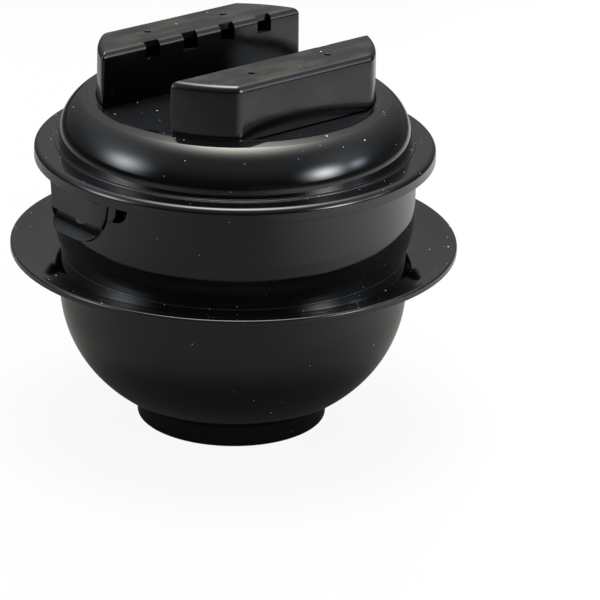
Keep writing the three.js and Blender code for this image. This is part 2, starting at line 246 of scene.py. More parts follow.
def rounded(corners):
    """A closed outline of (x, y) or (x, y, fillet) corners, with its fillets drawn."""
    points = []
    for i, at in enumerate(corners):
        radius = at[2] if len(at) > 2 else 0
        points += corner(corners[i - 1], at, corners[(i + 1) % len(corners)], radius)
    return points


def arc(centre, radius, start, end, steps):
    """Points on an arc, from one angle in degrees to another."""
    angles = np.radians(np.linspace(start, end, steps + 1))
    return [(centre[0] + radius * math.cos(a), centre[1] + radius * math.sin(a)) for a in angles]


def superellipse(radius, bottom, start, end, steps):
    """Points on the bowl's curve below its equator, by angle in degrees."""
    power = 2 / BOWL_POWER
    angles = np.radians(np.linspace(start, end, steps + 1))
    return [(radius * max(math.cos(a), 0) ** power,
             BOWL_EQUATOR - (BOWL_EQUATOR - bottom) * max(math.sin(a), 0) ** power)
            for a in angles]


def turned(name, section, steps=TURN_STEPS, centre=(0, 0)):
    """A solid turned round an upright axis from its closed section, anticlockwise in [r, z]."""
    angles = np.arange(steps) * 2 * math.pi / steps
    points, rows = [], []
    for r, z in section:
        if r < 1e-6:
            rows.append([len(points)] * steps)
            points.append((centre[0], centre[1], z))
        else:
            rows.append(list(range(len(points), len(points) + steps)))
            points += [(centre[0] + r * math.cos(a), centre[1] + r * math.sin(a), z)
                       for a in angles]
    faces = []
    for lower, upper in zip(rows, rows[1:] + rows[:1]):
        if lower[0] == lower[1] and upper[0] == upper[1]:
            continue
        for i in range(steps):
            j = (i + 1) % steps
            faces.append(list(dict.fromkeys((lower[i], lower[j], upper[j], upper[i]))))
    return add_mesh(name, points, faces)


def bridge(first, second, count):
    """Faces between two rings of vertices that start at the given numbers."""
    return [(first + i, first + (i + 1) % count, second + (i + 1) % count, second + i)
            for i in range(count)]


def lofted(name, rings):
    """A solid through rings of points, closed at both ends."""
    count = len(rings[0])
    points = [p for ring in rings for p in ring]
    faces = [tuple(reversed(range(count)))]
    for i in range(len(rings) - 1):
        faces += bridge(i * count, (i + 1) * count, count)
    faces.append(tuple(range((len(rings) - 1) * count, len(rings) * count)))
    return add_mesh(name, points, faces)


def read(items, key, size, kind=np.float32):
    """An attribute of every item in a mesh's collection, as rows."""
    values = np.zeros(len(items) * size, kind)
    items.foreach_get(key, values)
    return values.reshape(-1, size) if size > 1 else values


class Skin:
    """The surfaces of some meshes before a cut, which tell the smooth normal at a point."""

    def __init__(self, parts):
        points, triangles, normals = [], [], []
        base = 0
        for obj, sign in parts:
            mesh = obj.data
            mesh.calc_loop_triangles()
            points.append(read(mesh.vertices, "co", 3))
            triangles.append(read(mesh.loop_triangles, "vertices", 3, np.int32) + base)
            loops = read(mesh.loop_triangles, "loops", 3, np.int32)
            normals.append(read(mesh.corner_normals, "vector", 3)[loops] * sign)
            base += len(mesh.vertices)
        self.points = np.concatenate(points)
        self.triangles = np.concatenate(triangles)
        self.normals = np.concatenate(normals)
        self.tree = BVHTree.FromPolygons(self.points.tolist(), self.triangles.tolist())

    def normals_at(self, inside, at):
        """Normals at points, each seen from a point a little inside its own face."""
        nearest = np.array([self.tree.find_nearest(p)[2] for p in inside.tolist()])
        a, b, c = self.points[self.triangles[nearest]].transpose(1, 0, 2)
        across = np.cross(b - a, c - a)
        area = np.maximum((across ** 2).sum(1), 1e-30)
        share_b = (np.cross(at - a, c - a) * across).sum(1) / area
        share_c = (np.cross(b - a, at - a) * across).sum(1) / area
        shares = np.clip(np.stack([1 - share_b - share_c, share_b, share_c], 1), 0, 1)
        found = (shares[:, :, None] * self.normals[nearest]).sum(1)
        return found / np.maximum(np.linalg.norm(found, axis=1, keepdims=True), 1e-9)


def cut(obj, cutters, operation="DIFFERENCE"):
    """Cuts the cutters out of obj, or joins them to it, and keeps each surface's shading."""
    sign = -1 if operation == "DIFFERENCE" else 1
    skin = Skin([(obj, 1)] + [(cutter, sign) for cutter in cutters])
    for cutter in cutters:
        boolean = obj.modifiers.new("cut", "BOOLEAN")
        boolean.operation = operation
        boolean.solver = "MANIFOLD"
        boolean.object = cutter
    apply_modifiers(obj)
    for cutter in cutters:
        bpy.data.objects.remove(cutter)
    mesh = obj.data
    mesh.shade_smooth()
    corners = read(mesh.loops, "vertex_index", 1, np.int32)
    counts = read(mesh.polygons, "loop_total", 1, np.int32)
    at = read(mesh.vertices, "co", 3)[corners]
    centre = np.repeat(read(mesh.polygons, "center", 3), counts, 0)
    flat = np.repeat(read(mesh.polygons, "normal", 3), counts, 0)
    found = skin.normals_at(at * 0.98 + centre * 0.02, at)
    agrees = (found * flat).sum(1) > 0.5
    mesh.normals_split_custom_set(np.where(agrees[:, None], found, flat).tolist())
    return obj


# ---- pot ------------------------------------------------------------------------

def make_pot():
    """Footed bowl, saucer brim and neck, turned in one piece."""
    foot_inside = FOOT_RADIUS - FOOT_WIDTH
    rim_bottom = BRIM_TOP - BRIM_THICKNESS

    def saucer(share, root, rim):
        return (SAUCER_ROOT + (SAUCER_END - SAUCER_ROOT) * share,
                root + (rim - root) * share ** SAUCER_POWER)

    shares = np.linspace(0.12, 0.94, 10)
    section = rounded([
        (0, FOOT_RECESS),
        (foot_inside, FOOT_RECESS, 0.8),
        (foot_inside + 0.3, 0, 0.5),
        (FOOT_RADIUS, 0, 0.9),
        (FOOT_RADIUS + 0.4, FOOT_HEIGHT, 0.8),
        *superellipse(BOWL_RADIUS, 0, 55, 0, 40),
        *[(BOWL_RADIUS + beyond, z, fillet) for beyond, z, fillet in BOWL_SHOULDER],
        *[saucer(s, SAUCER_UNDERSIDE, rim_bottom) for s in shares],
        (BRIM_RADIUS, rim_bottom, 0.5),
        (BRIM_RADIUS, BRIM_TOP, RIM_ROUND),
        *[saucer(s, SAUCER_FLOOR, BRIM_TOP - 0.1) for s in shares[::-1]],
        (NECK_RADIUS, SAUCER_FLOOR, 0.25),
        (NECK_RADIUS, BEAD_HEIGHT - 1.0, 0.6),
        (NECK_RADIUS + BEAD_DEPTH, BEAD_HEIGHT - 0.3, 0.4),
        (NECK_RADIUS + BEAD_DEPTH, BEAD_HEIGHT + 0.3, 0.4),
        (NECK_RADIUS, BEAD_HEIGHT + 1.4, 0.8),
        (NECK_RADIUS, NECK_TOP, 0.7),
        (CAVITY_RADIUS, NECK_TOP, 0.7),
        *superellipse(CAVITY_RADIUS, CAVITY_BOTTOM, 0, 88, 48),
        (0, CAVITY_BOTTOM),
    ])
    pot = turned("pot", section)
    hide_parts("pot_body", "pot_brim")
    return pot


# ---- inner lid ------------------------------------------------------------------

def make_inner_lid():
    """A dished disc with steam holes and a hollow knob, its rim on the pot's neck."""
    rim_bottom = NECK_TOP + GAP
    rim_top = rim_bottom + INNER_RIM_THICKNESS
    wall = INNER_WALL_RADIUS
    inside = wall - INNER_SHEET
    floor_top = INNER_FLOOR + INNER_SHEET
    knob = KNOB_RADIUS
    section = rounded([
        (0, KNOB_TOP - INNER_SHEET),
        (knob - 3.2, KNOB_TOP - INNER_SHEET, 1.0),
        (knob - 3.2, INNER_FLOOR, 0.6),
        (wall, INNER_FLOOR, 1.6),
        (wall, rim_bottom, 0.4),
        (RIM_RADIUS, rim_bottom, 0.4),
        (RIM_RADIUS, rim_top, 0.8),
        (inside, rim_top, 0.9),
        (inside, floor_top, 1.6),
        (knob - 1.4, floor_top, 1.8),
        (knob - 1.8, floor_top + 5.0, 2.0),
        (knob, KNOB_TOP - 3.0, 1.6),
        (knob - 1.2, KNOB_TOP, 1.2),
        (knob - 4.0, KNOB_TOP - 0.5, 1.5),
        (0, KNOB_TOP - 0.7),
    ])
    lid = turned("inner_lid_moulding", section)
    hole, flare = STEAM_HOLE_RADIUS, STEAM_HOLE_FLARE
    holes = []
    for radius, count in STEAM_HOLE_RINGS:
        for i in range(count):
            angle = (i + 0.5) / count * 2 * math.pi
            centre = (radius * math.cos(angle), radius * math.sin(angle))
            holes.append(turned("hole", [
                (0, INNER_FLOOR - 1),
                (hole + flare + 1, INNER_FLOOR - 1),
                (hole, INNER_FLOOR + flare),
                (hole, floor_top - flare),
                (hole + flare + 1, floor_top + 1),
                (0, floor_top + 1),
            ], 32, centre))
    cut(lid, holes)
    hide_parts("inner_lid")
    return lid


# ---- upper lid ------------------------------------------------------------------

def turn_over(points, turned_over):
    """The same points on the other side of the lid, half a turn round."""
    return [(-x, -y, z) for x, y, z in points] if turned_over else points


def beside(outline, distance, turned_over, offset=0):
    """Puts an outline, (along the skirt, height), at a distance out from the axis."""
    return turn_over([(-(distance(u, w) + offset), -u, w) for u, w in outline], turned_over)


def tab_outline(grow):
    """A tab in (along the skirt, height), with its side next to the relief on the right."""
    left, right = -TAB_LONG_SIDE - grow, TAB_SHORT_SIDE + grow
    bottom = TAB_BOTTOM - grow
    a, b = TAB_LONG_CORNER + grow, TAB_SHORT_CORNER + grow
    return [
        (left, TAB_ROOT),
        *arc((left + a, bottom + a), a, 180, 270, 10),
        *arc((right - b, bottom + b), b, 270, 360, 20),
        (right, TAB_ROOT),
    ]


def window_outline(grow):
    """A tab's window and the thumb relief beside it, as one opening."""
    edge, top = WINDOW_GAP + grow, TAB_ROOT + grow
    left, bottom = -TAB_LONG_SIDE - edge, TAB_BOTTOM - edge
    a, b, c = TAB_LONG_CORNER + edge, TAB_SHORT_CORNER + edge, RELIEF_CORNER + grow
    middle = (TAB_SHORT_SIDE + edge - b, bottom + b)
    relief_end, relief_bottom = RELIEF_REACH + grow, RELIEF_BOTTOM - grow
    meeting = math.degrees(math.asin((relief_bottom - middle[1]) / b))
    return [
        (left, top),
        *arc((left + a, bottom + a), a, 180, 270, 10),
        *arc(middle, b, -90, meeting, 20),
        *arc((relief_end - c, relief_bottom + c), c, -90, 0, 14),
        (relief_end, top),
    ]


def window_cutter(turned_over):
    """Cuts a tab's window through the skirt and rounds its outer edge."""
    edge = WINDOW_EDGE
    stages = [(60, WINDOW_UNDERCUT), (SKIRT_INSIDE, WINDOW_UNDERCUT),
              (SKIRT_RADIUS - edge - WINDOW_SINK, 0)]
    for a in (math.radians(30), math.radians(60)):
        radius = SKIRT_RADIUS - WINDOW_SINK - edge * (1 - math.sin(a))
        stages.append((radius, edge * (1 - math.cos(a))))
    stages.append((SKIRT_RADIUS + 2, 2.2))
    rings = []
    for radius, grow in stages:
        ring = [(-math.sqrt(radius ** 2 - u ** 2), -u, w) for u, w in window_outline(grow)]
        rings.append(turn_over(ring, turned_over))
    return lofted("window", rings)


def tab_plane(u):
    """From the axis to a tab's face: flat, but turning in to the skirt past its middle."""
    t = min(max(u / (TAB_SHORT_SIDE + TAB_RUN_OUT), 0), 1)
    skirt = math.sqrt(SKIRT_RADIUS ** 2 - u ** 2) - 0.25
    return TAB_FACE + (skirt - TAB_FACE) * t * t * (3 - 2 * t)


def tab_root(turned_over):
    """Fills between the skirt and the plane of a tab's face, and runs out to one side."""
    behind = 70.2
    across = np.linspace(-TAB_LONG_SIDE, TAB_SHORT_SIDE + TAB_RUN_OUT, 33)
    plan = [(u, tab_plane(u)) for u in across]
    for u in across[::-1]:
        plan.append((u, min(math.sqrt(behind ** 2 - u ** 2), tab_plane(u) - 0.4)))
    rings = []
    for z in (TAB_ROOT, FLANGE_BOTTOM + 1.0):
        rings.append(turn_over([(-d, -u, z) for u, d in plan], turned_over))
    return lofted("root", rings)


def make_lid():
    """Dome, flange and skirt turned in one piece, cut for the handles and the tabs."""
    top = FLANGE_TOP
    step = top + STEP_HEIGHT
    inside = SHOULDER[0] + SHOULDER_RADIUS - LID_SHEET
    section = rounded([
        (0, PLATEAU_TOP - LID_SHEET),
        (PLATEAU_RADIUS, PLATEAU_TOP - LID_SHEET),
        *arc(SHOULDER, SHOULDER_RADIUS - LID_SHEET, SHOULDER_SWEEP, 0, 20),
        (inside, FLANGE_BOTTOM, 1.0),
        (SKIRT_INSIDE, FLANGE_BOTTOM, 0.6),
        (SKIRT_INSIDE, SKIRT_BOTTOM, 0.5),
        *[(SKIRT_RADIUS - inward, SKIRT_BOTTOM + up, fillet)
          for inward, up, fillet in SKIRT_TAPER],
        (SKIRT_RADIUS, FLANGE_BOTTOM, 0.9),
        (FLANGE_RADIUS - LIP_THICKNESS, FLANGE_BOTTOM, 0.6),
        (FLANGE_RADIUS - LIP_THICKNESS, LIP_BOTTOM, 0.3),
        (FLANGE_RADIUS, LIP_BOTTOM, 0.25),
        (FLANGE_RADIUS, top, FLANGE_ROUND),
        (STEP_RADIUS + 0.1, top, 0.15),
        *arc((STEP_RADIUS - STEP_ROUND, step - STEP_ROUND), STEP_ROUND, 0, 90, 6),
        (SHOULDER[0] + SHOULDER_RADIUS + 0.1, step, 0.15),
        *arc(SHOULDER, SHOULDER_RADIUS, 0, SHOULDER_SWEEP, 36),
        (CREST_RADIUS, CREST_TOP, 2.4),
        (PLATEAU_RADIUS, CREST_TOP - 0.05, 0.8),
        (PLATEAU_RADIUS - 0.9, PLATEAU_TOP, 0.7),
        (0, PLATEAU_TOP),
    ])
    lid = turned("lid_shell", section)
    cutters = []
    roots = []
    for turned_over in (False, True):
        cutters.append(window_cutter(turned_over))
        opening = handle_outline(HANDLE_LEDGE)
        rings = [turn_over([(x, y, z) for x, y in opening], turned_over)
                 for z in (PLATEAU_TOP - 6, PLATEAU_TOP + 4)]
        cutters.append(lofted("opening", rings))
        roots.append(tab_root(turned_over))
    cut(lid, cutters)
    cut(lid, roots, "UNION")
    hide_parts("upper_lid")
    return lid


# ---- handles --------------------------------------------------------------------

def handle_outline(inset):
    """The rear handle in plan: straight long sides, and ends on a circle round the lid."""
    radius = HANDLE_END_RADIUS - inset
    r = max(HANDLE_CORNER - inset, 0.5)
    inner, outer = HANDLE_INNER_Y + inset, HANDLE_OUTER_Y - inset
    first, last = math.degrees(math.asin(inner / radius)), math.degrees(math.asin(outer / radius))
    end = arc((0, 0), radius, first, last, 8)
    other = [(-x, y) for x, y in reversed(end)]
    return fixed_corners([
        (*end[0], r), *end[1:-1], (*end[-1], r),
        (*other[0], r), *other[1:-1], (*other[-1], r),
    ])


def fixed_corners(corners, steps=6):
    """Like rounded(), with the same count of points at each corner whatever its size."""
    points = []
    for i, at in enumerate(corners):
        if len(at) < 3:
            points.append(at)
            continue
        before, after = corners[i - 1], corners[(i + 1) % len(corners)]
        a, p, b = (np.array(q[:2], float) for q in (before, at, after))
        reach = [min(at[2], 0.9 * np.linalg.norm(q - p)) for q in (a, b)]
        start = p + (a - p) / np.linalg.norm(a - p) * reach[0]
        end = p + (b - p) / np.linalg.norm(b - p) * reach[1]
        for k in range(steps + 1):
            t = k / steps
            points.append(tuple((1 - t) ** 2 * start + 2 * t * (1 - t) * p + t ** 2 * end))
    return points


def make_handle(name, turned_over):
    """A hollow grip, open below, with notches in the edge that faces the gap."""

    def ring(inset, z):
        return turn_over([(x, y, z) for x, y in handle_outline(inset)], turned_over)

    def rise(z):
        return HANDLE_DRAFT * (z - HANDLE_BASE) / (HANDLE_TOP - HANDLE_BASE)

    inner_top = HANDLE_TOP - HANDLE_WALL
    rings = [
        ring(HANDLE_WALL + 1.0, inner_top),
        ring(HANDLE_WALL + 0.3, inner_top - 0.3),
        ring(HANDLE_WALL, inner_top - 1.0),
        ring(HANDLE_WALL, HANDLE_BASE - 0.2),
        ring(0.3, HANDLE_BASE - 0.2),
        ring(0.0, HANDLE_BASE + 0.15),
    ]
    edge_z = HANDLE_TOP - HANDLE_EDGE
    for z in np.linspace(HANDLE_BASE + 1, edge_z, 4):
        rings.append(ring(rise(z), z))
    for angle in np.radians(np.arange(11.25, 91, 11.25)):
        inset = HANDLE_DRAFT + HANDLE_EDGE * (1 - math.cos(angle))
        rings.append(ring(inset, edge_z + HANDLE_EDGE * math.sin(angle)))
    handle = lofted(name, rings)
    cutters = []
    for i in range(NOTCH_COUNT):
        x = NOTCH_SHIFT + (i - (NOTCH_COUNT - 1) / 2) * NOTCH_PITCH
        cutters.append(notch(x, turned_over))
    for x in (-DIMPLE_X, DIMPLE_X):
        cutters.append(dimple(x, turned_over))
    cut(handle, cutters)
    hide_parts(name.replace("grip", "handle"))
    return handle


def notch(x, turned_over):
    """A slot in the handle's inner edge, with a small round on its upper and inner edges."""
    flare = 0.3
    half = NOTCH_WIDTH / 2
    low_z = HANDLE_TOP - NOTCH_DEPTH
    deep = HANDLE_INNER_Y + NOTCH_REACH
    outside = HANDLE_INNER_Y - 3
    rings = []
    for z, grow in ((low_z, -0.3), (low_z + 0.3, 0), (HANDLE_TOP - flare, 0),
                    (HANDLE_TOP - 0.1, 0.12), (HANDLE_TOP + 1, 1.4)):
        plan = [
            (x - half - grow, outside),
            (x + half + grow, outside),
            (x + half + grow, deep + grow),
            (x - half - grow, deep + grow),
        ]
        rings.append(turn_over([(a, b, z) for a, b in plan], turned_over))
    return lofted("notch", rings)


def dimple(x, turned_over):
    """A gate mark: a shallow round pit in the top of a handle."""
    sign = -1 if turned_over else 1
    floor, under, above = DIMPLE_RADII
    return turned("dimple", [
        (0, HANDLE_TOP - DIMPLE_DEPTH),
        (floor, HANDLE_TOP - DIMPLE_DEPTH),
        (under, HANDLE_TOP - 0.2),
        (above, HANDLE_TOP + 0.2),
        (0, HANDLE_TOP + 0.2),
    ], 24, (sign * x, sign * DIMPLE_Y))


# ---- lock tabs ------------------------------------------------------------------

def plate_face(u, w):
    """Distance of a tab's outer face from the axis, with its hollow lip."""
    t = max(TAB_CREASE - w, 0) / (TAB_CREASE - TAB_BOTTOM)
    ledge = min(t / TAB_LEDGE, 1)
    inward = TAB_DIP * ledge * ledge * (3 - 2 * ledge)
    outward = TAB_CURL * (TAB_CURL_START * t + (1 - TAB_CURL_START) * t ** 3)
    return tab_plane(u) - inward + outward


def plate_back(u, w):
    return plate_face(u, w) - TAB_THICKNESS


def cap(outline, spacing):
    """Triangles over an outline, with rows of points inside it so that the sheet can bend.
    Returns the points beyond the outline and the faces."""
    inside = []
    lows, highs = np.min(outline, 0), np.max(outline, 0)
    coarse = np.arange(lows[1] + spacing, TAB_TOP - 3, spacing)
    heights = [w for w in coarse if not TAB_CREASE - 2.2 < w < TAB_CREASE + 0.9]
    heights += list(np.arange(TAB_CREASE - 1.8, TAB_CREASE + 0.4, 0.3))
    heights += list(np.arange(TAB_TOP - TAB_BEND, TAB_ROOT, 0.6))
    hull = np.array(outline)
    following = np.roll(hull, -1, 0)
    for w in sorted(heights):
        for u in np.arange(lows[0] + spacing / 2, highs[0], spacing):
            side = (following[:, 0] - hull[:, 0]) * (w - hull[:, 1])
            side -= (following[:, 1] - hull[:, 1]) * (u - hull[:, 0])
            length = np.linalg.norm(following - hull, axis=1)
            if (side / length).min() > 0.25:
                inside.append((u, w))
    count = len(outline)
    everything = [Vector(p) for p in [*outline, *inside]]
    edges = [(i, (i + 1) % count) for i in range(count)]
    _, _, faces, sources, _, _ = delaunay_2d_cdt(everything, edges, [], 1, 1e-5)
    number = [s[0] for s in sources]
    return inside, [[number[i] for i in face] for face in faces]


def tab_sheet(name, turned_over):
    """A tab's plate: its rounded edge, and a face and a back that follow their surfaces."""
    stages = [(-0.3, plate_back, 0), (0, plate_back, 0.3)]
    for angle in np.radians(np.arange(0, 91, 18)):
        inset = TAB_EDGE * (1 - math.cos(angle))
        stages.append((-inset, plate_face, -TAB_EDGE * (1 - math.sin(angle))))
    outlines = [tab_outline(grow) for grow, _, _ in stages]
    rings = [beside(outline, surface, turned_over, offset)
             for outline, (_, surface, offset) in zip(outlines, stages)]
    count = len(rings[0])
    last = (len(rings) - 1) * count
    points = [p for ring in rings for p in ring]
    faces = []
    for start in range(0, last, count):
        faces += bridge(start, start + count, count)
    for start, surface, outline, flip in (
        (0, plate_back, outlines[0], True),
        (last, plate_face, outlines[-1], False),
    ):
        inside, triangles = cap(outline, 1.4)
        base = len(points)
        points += beside(inside, surface, turned_over)
        numbers = [start + i for i in range(count)] + [base + i for i in range(len(inside))]
        for triangle in triangles:
            face = [numbers[i] for i in triangle]
            faces.append(face[::-1] if flip else face)
    return add_mesh(name, points, faces)


def tab_hook(turned_over):
    """The catch on a tab's back, curved round the pot's bead."""
    rings = []
    for u in np.linspace(*HOOK_SPAN, HOOK_STEPS):
        ring = [(-math.sqrt(d * d - u * u), -u, TAB_BOTTOM + up) for d, up in HOOK_SECTION]
        rings.append(turn_over(ring[::-1], turned_over))
    return lofted("hook", rings)


def make_tab(name, body, turned_over):
    """A flat sprung plate with a lip to pull. The real one bends where it leaves the lid; this
    one is built straight.
    """
    tab = tab_sheet(name, turned_over)
    cut(tab, [tab_hook(turned_over)], "UNION")
    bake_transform(tab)
    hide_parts(body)
    return tab


# ---- materials ------------------------------------------------------------------

def node(tree, kind, **values):
    made = tree.nodes.new(kind)
    for key, value in values.items():
        if key in made.inputs:
            made.inputs[key].default_value = value
        else:
            setattr(made, key, value)
    return made


def ramp(tree, source, start, end, low_value, high_value):
    """Maps a value smoothly from one span to another."""
    made = node(tree, "ShaderNodeMapRange", interpolation_type="SMOOTHSTEP")
    tree.links.new(source, made.inputs["Value"])
    made.inputs["From Min"].default_value = start
    made.inputs["From Max"].default_value = end
    made.inputs["To Min"].default_value = low_value
    made.inputs["To Max"].default_value = high_value
    return made.outputs["Result"]


def combine(tree, operation, a, b):
    made = node(tree, "ShaderNodeMath", operation=operation)
    for socket, value in zip(made.inputs, (a, b)):
        if isinstance(value, (int, float)):
            socket.default_value = value
        else:
            tree.links.new(value, socket)
    return made.outputs[0]


def noise(tree, place, scale, detail=2.0, roughness=0.5):
    made = node(tree, "ShaderNodeTexNoise", Scale=scale, Detail=detail, Roughness=roughness)
    tree.links.new(place, made.inputs["Vector"])
    return made.outputs["Fac"]


def dust(tree, place, scale, size, keep):
    """Small round specks: 1 on a speck, 0 elsewhere. keep is the share of cells with one."""
    cells = node(tree, "ShaderNodeTexVoronoi", Scale=scale)
    tree.links.new(place, cells.inputs["Vector"])
    split = node(tree, "ShaderNodeSeparateColor")
    tree.links.new(cells.outputs["Color"], split.inputs[0])
    radius = ramp(tree, split.outputs[1], 0, 1, 0.4 * size, size)
    inside = combine(tree, "LESS_THAN", cells.outputs["Distance"], radius)
    chosen = combine(tree, "LESS_THAN", split.outputs[0], keep)
    return combine(tree, "MULTIPLY", inside, chosen)


def mapped(tree, place, scale, rotation):
    made = node(tree, "ShaderNodeMapping", Scale=scale, Rotation=rotation)
    tree.links.new(place, made.inputs["Vector"])
    return made.outputs["Vector"]


def component(tree, vector, axis):
    made = node(tree, "ShaderNodeSeparateXYZ")
    tree.links.new(vector, made.inputs[0])
    return made.outputs[axis]


def mixed(tree, share, first, second):
    """A colour between two, each of them a colour or another node's output."""
    made = node(tree, "ShaderNodeMix", data_type="RGBA")
    tree.links.new(share, made.inputs[0])
    for socket, value in ((made.inputs[6], first), (made.inputs[7], second)):
        if isinstance(value, tuple):
            socket.default_value = value
        else:
            tree.links.new(value, socket)
    return made.outputs[2]


# painted reflection, not flow marks: a lighter grey laid in cloudy streaks on faces that look up,
# standing in for the sheen of the grips' tops
PAINTED_SHEEN_COLOUR = (0.036, 0.035, 0.030, 1)      # cloudy flow marks
SPECK_COLOUR = (0.6, 0.6, 0.61, 1)          # dust
POLISHED, DULL = 0.5, 0.04                  # specular levels


def plastic(name, tint, smooth, worn, wave, dusty, painted_sheen=0.0, dull_above=None):
    """Glossy moulded plastic. tint is its colour, smooth and worn the least and the most
    roughness, wave the height of its slow waviness, dusty the share of specks and
    painted_sheen the strength of a painted reflection: a lighter grey in cloudy streaks on
    faces that look up, standing in for the sheen they catch. Above the height
    dull_above, in metres, the plastic is not polished."""
    material = bpy.data.materials.new(name)
    material.use_nodes = True
    tree = material.node_tree
    shader = tree.nodes["Principled BSDF"]
    shader.inputs["IOR"].default_value = 1.5
    place = node(tree, "ShaderNodeTexCoord").outputs["Object"]
    rise = component(tree, node(tree, "ShaderNodeNewGeometry").outputs["Normal"], "Z")

    patches = noise(tree, place, 38, 3)
    grain = noise(tree, place, 900, 2)
    stretched = mapped(tree, place, (1, 1, 9), (0.3, 0.2, 0.5))
    scratches = ramp(tree, noise(tree, stretched, 260, 2, 0.7), 0.62, 0.7, 0, 1)
    share = ramp(tree, rise, 0.2, 0.8, 0.2 * dusty, dusty)
    specks = combine(tree, "MAXIMUM",
                     dust(tree, place, 260, 0.11, share),
                     dust(tree, place, 640, 0.13, share))

    rough = ramp(tree, patches, 0.3, 0.7, smooth, worn)
    rough = combine(tree, "ADD", rough, combine(tree, "MULTIPLY", scratches, 0.05))
    rough = combine(tree, "ADD", rough, combine(tree, "MULTIPLY", specks, 0.5))
    tree.links.new(rough, shader.inputs["Roughness"])
    if dull_above:
        height = component(tree, place, "Z")
        shine = ramp(tree, height, dull_above, dull_above + 0.004, POLISHED, DULL)
        tree.links.new(shine, shader.inputs["Specular IOR Level"])

    darker = (*[0.85 * c for c in tint], 1)
    lighter = (*[1.2 * c for c in tint], 1)
    colour = mixed(tree, ramp(tree, patches, 0.35, 0.65, 0, 1), darker, lighter)
    # painted reflection: the lighter grey goes only on faces that look up, in streaks, where the
    # tops catch the light
    painted_sheen_on_tops = ramp(tree, rise, 0.8, 0.98, 0, painted_sheen)
    painted_sheen_place = mapped(tree, place, (1, 2.6, 1), (0, 0, 0.9))
    painted_sheen_streaks = ramp(tree, noise(tree, painted_sheen_place, 60, 4, 0.6), 0.42, 0.66, 0, 1)
    colour = mixed(tree, combine(tree, "MULTIPLY", painted_sheen_streaks, painted_sheen_on_tops), colour, PAINTED_SHEEN_COLOUR)
    colour = mixed(tree, specks, colour, SPECK_COLOUR)
    tree.links.new(colour, shader.inputs["Base Color"])

    slow = node(tree, "ShaderNodeBump", Strength=1.0, Distance=wave)
    tree.links.new(noise(tree, place, 55, 1), slow.inputs["Height"])
    fine_bump = node(tree, "ShaderNodeBump", Strength=0.06, Distance=0.00002)
    tree.links.new(combine(tree, "ADD", grain, scratches), fine_bump.inputs["Height"])
    tree.links.new(slow.outputs["Normal"], fine_bump.inputs["Normal"])
    tree.links.new(fine_bump.outputs["Normal"], shader.inputs["Normal"])
    return material


def wear(obj, material):
    obj.data.materials.clear()
    obj.data.materials.append(material)


# ---- stage ----------------------------------------------------------------------

VIEW_AZIMUTH = -39.554
VIEW_ELEVATION = 20.819
VIEW_ROLL = 0.878
VIEW_DISTANCE = 1509.1
VIEW_HEIGHT = 75.0                  # height on the axis that the distance is measured to
AIM_ACROSS = 26.2                   # the object stands left of and above the middle
AIM_DOWN = -25.7
LENS = 228.3


def make_camera():
    """The photograph's camera, which looks a little past the object and is slightly rolled."""
    azimuth, elevation = math.radians(VIEW_AZIMUTH), math.radians(VIEW_ELEVATION)
    forward = Vector((-math.sin(azimuth) * math.cos(elevation),
                      math.cos(azimuth) * math.cos(elevation),
                      -math.sin(elevation)))
    right = Vector((math.cos(azimuth), math.sin(azimuth), 0))
    up = right.cross(forward)
    roll = math.radians(VIEW_ROLL)
    tilted_right = math.cos(roll) * right + math.sin(roll) * up
    tilted_up = math.cos(roll) * up - math.sin(roll) * right
    target = Vector((0, 0, VIEW_HEIGHT))
    place = target - forward * VIEW_DISTANCE
    aim = target + tilted_right * AIM_ACROSS + tilted_up * AIM_DOWN
    back = (place - aim).normalized()
    side = tilted_up.cross(back).normalized()
    over = back.cross(side)
    camera = bpy.data.cameras.new("camera")
    camera.lens = LENS
    camera.sensor_width = 36
    camera.clip_start, camera.clip_end = 0.05, 20
    obj = bpy.data.objects.new("camera", camera)
    turn = Matrix((side, over, back)).transposed().to_4x4()
    obj.matrix_world = Matrix.Translation(place * MM) @ turn
    bpy.context.scene.collection.objects.link(obj)
    bpy.context.scene.camera = obj


def around(view_turn, elevation):
    """A direction round the bowl: turned from the camera's side, towards the picture's right."""
    turn = math.radians(VIEW_AZIMUTH - 90 + view_turn)
    rise = math.radians(elevation)
    return (math.cos(turn) * math.cos(rise), math.sin(turn) * math.cos(rise), math.sin(rise))


# Soft lights as seen from the bowl: turn from the camera's side towards the picture's
# right, elevation, angular width (all in degrees), brightness, colour.
LIGHTS = (
    (-76, 14, 8.5, 9.0, (0.93, 0.96, 1)),
    (-88, 26, 15, 1.0, (0.75, 0.85, 1)),
    (60, 11, 7.0, 17.0, (0.93, 0.97, 1)),
    (85, 10, 4.5, 4.5, (0.85, 0.92, 1)),
    (80, 24, 15, 0.9, (0.75, 0.85, 1)),
    (180, 80, 12.5, 16.0, (1, 0.98, 0.91)),
    (-140, 50, 15, 0.4, (1, 0.98, 0.92)),
    (140, 56, 15, 0.7, (1, 0.98, 0.92)),
    (180, 24, 32, 0.2, (1, 0.99, 0.95)),
)


def glow(tree, direction, turn, elevation, width, brightness, colour):
    """Light that fades smoothly round one direction of the room."""
    across = node(tree, "ShaderNodeVectorMath", operation="DOT_PRODUCT")
    tree.links.new(direction, across.inputs[0])
    across.inputs[1].default_value = around(turn, elevation)
    away = combine(tree, "SUBTRACT", 1, across.outputs["Value"])
    fall = combine(tree, "DIVIDE", away, -math.radians(width) ** 2)
    strength = combine(tree, "MULTIPLY", combine(tree, "EXPONENT", fall, 0), brightness)
    light = node(tree, "ShaderNodeBackground")
    light.inputs["Color"].default_value = (*colour, 1)
    tree.links.new(strength, light.inputs["Strength"])
    return light.outputs[0]


ROOM_GREY = (0.05, 0.34)            # at the horizon and overhead


